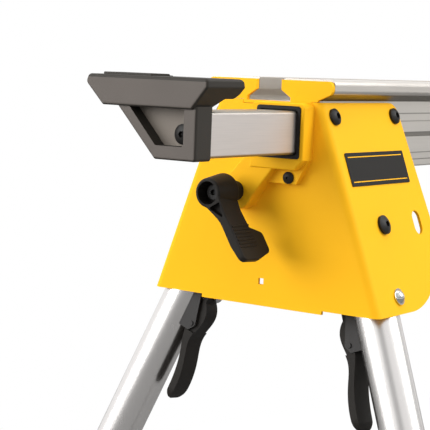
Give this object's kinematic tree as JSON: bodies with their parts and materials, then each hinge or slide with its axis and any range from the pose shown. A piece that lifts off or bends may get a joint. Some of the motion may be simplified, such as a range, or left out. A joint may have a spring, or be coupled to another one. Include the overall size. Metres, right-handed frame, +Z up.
{
  "type": "miter saw stand",
  "caption": "Folding miter saw stand: slotted aluminium beam on splayed folding legs, sliding extension supports at both ends and clamp-on saw brackets.",
  "frame": {"origin": "on the floor under the middle of the beam", "axes": "+X along the beam towards the right end, +Y to the back, +Z up"},
  "size_m": [1.8624, 0.7492, 0.842],
  "materials": {
    "beam_aluminium": "satin extruded",
    "yellow_sheet": "powder coat",
    "yellow_casting": "powder coat",
    "tube_steel": "brushed",
    "leg_steel": "satin",
    "black_plastic": "fine grain",
    "foot_rubber": "matte",
    "black_steel": "black oxide",
    "steel_shoe": "machined",
    "saddle_casting": "cast",
    "bright_steel": "polished"
  },
  "bodies": {
    "stand_frame": {"main_beam": "beam_aluminium", "left_housing": "yellow_sheet", "right_housing": "yellow_sheet", "left_end_casting": "yellow_casting", "right_end_casting": "yellow_casting", "left_tube_liner": "black_plastic", "right_tube_liner": "black_plastic", "housing_bolts": "black_steel", "bolt_spacers": "black_plastic", "casting_bolts": "black_steel", "leg_pivot_bolts": "black_steel", "latch_cups": "bright_steel"},
    "left_extension": {"left_extension_tube": "tube_steel", "left_end_support": "black_plastic", "left_support_bolt": "black_steel", "left_tube_glide": "black_plastic"},
    "left_stop": {"left_work_stop": "black_plastic"},
    "left_lock": {"left_lock_lever": "black_plastic", "left_lock_shaft": "black_steel"},
    "left_shoe": {"left_brake_shoe": "steel_shoe"},
    "right_extension": {"right_extension_tube": "tube_steel", "right_end_support": "black_plastic", "right_support_bolt": "black_steel", "right_tube_glide": "black_plastic"},
    "right_stop": {"right_work_stop": "black_plastic"},
    "right_lock": {"right_lock_lever": "black_plastic", "right_lock_shaft": "black_steel"},
    "right_shoe": {"right_brake_shoe": "steel_shoe"},
    "left_front_leg": {"left_front_leg_tube": "leg_steel", "left_front_leg_plug": "black_plastic", "left_front_leg_foot": "foot_rubber", "left_front_lever_bracket": "black_steel"},
    "left_front_release": {"left_front_release_lever": "black_plastic"},
    "left_front_pin": {"left_front_lock_pin": "bright_steel"},
    "left_back_leg": {"left_back_leg_tube": "leg_steel", "left_back_leg_plug": "black_plastic", "left_back_leg_foot": "foot_rubber", "left_back_lever_bracket": "black_steel"},
    "left_back_release": {"left_back_release_lever": "black_plastic"},
    "left_back_pin": {"left_back_lock_pin": "bright_steel"},
    "right_back_leg": {"right_back_leg_tube": "leg_steel", "right_back_leg_plug": "black_plastic", "right_back_leg_foot": "foot_rubber", "right_back_lever_bracket": "black_steel"},
    "right_back_release": {"right_back_release_lever": "black_plastic"},
    "right_back_pin": {"right_back_lock_pin": "bright_steel"},
    "right_front_leg": {"right_front_leg_tube": "leg_steel", "right_front_leg_plug": "black_plastic", "right_front_leg_foot": "foot_rubber", "right_front_lever_bracket": "black_steel"},
    "right_front_release": {"right_front_release_lever": "black_plastic"},
    "right_front_pin": {"right_front_lock_pin": "bright_steel"},
    "left_bracket": {"left_bracket_rail": "yellow_sheet", "left_bracket_saddle": "saddle_casting"},
    "left_clamp": {"left_clamp_lever": "black_plastic"},
    "left_jaw": {"left_bracket_jaw": "saddle_casting"},
    "right_bracket": {"right_bracket_rail": "yellow_sheet", "right_bracket_saddle": "saddle_casting"},
    "right_clamp": {"right_clamp_lever": "black_plastic"},
    "right_jaw": {"right_bracket_jaw": "saddle_casting"}
  },
  "joints": [
    {"name": "left_extension_slide", "type": "slide", "parent": "stand_frame", "child": "left_extension", "axis": [-1, 0, 0], "range_m": [-0.116, 0.986]},
    {"name": "left_stop_hinge", "type": "hinge", "parent": "left_extension", "child": "left_stop", "pos_m": [-0.8995, 0.033, 0.811], "axis": [0, 1, 0], "range_deg": [0, 90]},
    {"name": "left_lock_turn", "type": "hinge", "parent": "stand_frame", "child": "left_lock", "pos_m": [-0.778, 0.021, 0.7098], "axis": [1, 0, 0], "range_deg": [0, 90]},
    {"name": "left_shoe_slide", "type": "slide", "parent": "stand_frame", "child": "left_shoe", "axis": [0, -0.5581, 0.8298], "range_m": [-0.001, 0]},
    {"name": "right_extension_slide", "type": "slide", "parent": "stand_frame", "child": "right_extension", "axis": [1, 0, 0], "range_m": [-0.116, 0.986]},
    {"name": "right_stop_hinge", "type": "hinge", "parent": "right_extension", "child": "right_stop", "pos_m": [0.8995, -0.033, 0.811], "axis": [0, -1, 0], "range_deg": [0, 90]},
    {"name": "right_lock_turn", "type": "hinge", "parent": "stand_frame", "child": "right_lock", "pos_m": [0.778, -0.021, 0.7098], "axis": [-1, 0, 0], "range_deg": [0, 90]},
    {"name": "right_shoe_slide", "type": "slide", "parent": "stand_frame", "child": "right_shoe", "axis": [0, 0.5581, 0.8298], "range_m": [-0.001, 0]},
    {"name": "left_front_leg_fold", "type": "hinge", "parent": "stand_frame", "child": "left_front_leg", "pos_m": [-0.7119, -0.07178, 0.67503], "axis": [0, -0.9252, 0.3795], "range_deg": [0, 98.6]},
    {"name": "left_front_release_turn", "type": "hinge", "parent": "left_front_leg", "child": "left_front_release", "pos_m": [-0.72655, -0.08357, 0.57513], "axis": [0.9888, -0.0567, -0.1384], "range_deg": [0, 8]},
    {"name": "left_front_pin_slide", "type": "slide", "parent": "left_front_leg", "child": "left_front_pin", "axis": [0, -0.9252, 0.3795], "range_m": [0, 0.0045]},
    {"name": "left_back_leg_fold", "type": "hinge", "parent": "stand_frame", "child": "left_back_leg", "pos_m": [-0.7276, 0.07178, 0.67503], "axis": [0, -0.9252, -0.3795], "range_deg": [0, 98.6]},
    {"name": "left_back_release_turn", "type": "hinge", "parent": "left_back_leg", "child": "left_back_release", "pos_m": [-0.74225, 0.08357, 0.57513], "axis": [-0.9888, -0.0567, 0.1384], "range_deg": [0, 8]},
    {"name": "left_back_pin_slide", "type": "slide", "parent": "left_back_leg", "child": "left_back_pin", "axis": [0, 0.9252, 0.3795], "range_m": [0, 0.0045]},
    {"name": "right_back_leg_fold", "type": "hinge", "parent": "stand_frame", "child": "right_back_leg", "pos_m": [0.7119, 0.07178, 0.67503], "axis": [0, 0.9252, 0.3795], "range_deg": [0, 94.6]},
    {"name": "right_back_release_turn", "type": "hinge", "parent": "right_back_leg", "child": "right_back_release", "pos_m": [0.72655, 0.08357, 0.57513], "axis": [-0.9888, 0.0567, -0.1384], "range_deg": [0, 8]},
    {"name": "right_back_pin_slide", "type": "slide", "parent": "right_back_leg", "child": "right_back_pin", "axis": [0, 0.9252, 0.3795], "range_m": [0, 0.0045]},
    {"name": "right_front_leg_fold", "type": "hinge", "parent": "stand_frame", "child": "right_front_leg", "pos_m": [0.7276, -0.07178, 0.67503], "axis": [0, 0.9252, -0.3795], "range_deg": [0, 94.6]},
    {"name": "right_front_release_turn", "type": "hinge", "parent": "right_front_leg", "child": "right_front_release", "pos_m": [0.74225, -0.08357, 0.57513], "axis": [0.9888, 0.0567, 0.1384], "range_deg": [0, 8]},
    {"name": "right_front_pin_slide", "type": "slide", "parent": "right_front_leg", "child": "right_front_pin", "axis": [0, -0.9252, 0.3795], "range_m": [0, 0.0045]},
    {"name": "left_bracket_slide", "type": "slide", "parent": "stand_frame", "child": "left_bracket", "axis": [-1, 0, 0], "range_m": [-0.09, 0.47]},
    {"name": "left_clamp_turn", "type": "hinge", "parent": "left_bracket", "child": "left_clamp", "pos_m": [-0.125, -0.0881, 0.827], "axis": [1, 0, 0], "range_deg": [0, 90]},
    {"name": "left_jaw_slide", "type": "slide", "parent": "left_bracket", "child": "left_jaw", "axis": [0, -1, 0], "range_m": [0, 0.002]},
    {"name": "right_bracket_slide", "type": "slide", "parent": "stand_frame", "child": "right_bracket", "axis": [1, 0, 0], "range_m": [-0.09, 0.47]},
    {"name": "right_clamp_turn", "type": "hinge", "parent": "right_bracket", "child": "right_clamp", "pos_m": [0.125, -0.0881, 0.827], "axis": [1, 0, 0], "range_deg": [0, 90]},
    {"name": "right_jaw_slide", "type": "slide", "parent": "right_bracket", "child": "right_jaw", "axis": [0, -1, 0], "range_m": [0, 0.002]}
  ],
  "couplings": [
    {"joint": "left_shoe_slide", "follows": "left_lock_turn", "m_per_rad": -0.00063662},
    {"joint": "right_shoe_slide", "follows": "right_lock_turn", "m_per_rad": -0.00063662},
    {"joint": "left_front_pin_slide", "follows": "left_front_release_turn", "m_per_rad": 0.032229},
    {"joint": "left_back_pin_slide", "follows": "left_back_release_turn", "m_per_rad": 0.032229},
    {"joint": "right_back_pin_slide", "follows": "right_back_release_turn", "m_per_rad": 0.032229},
    {"joint": "right_front_pin_slide", "follows": "right_front_release_turn", "m_per_rad": 0.032229},
    {"joint": "left_jaw_slide", "follows": "left_clamp_turn", "m_per_rad": 0.0012732},
    {"joint": "right_jaw_slide", "follows": "right_clamp_turn", "m_per_rad": 0.0012732}
  ]
}
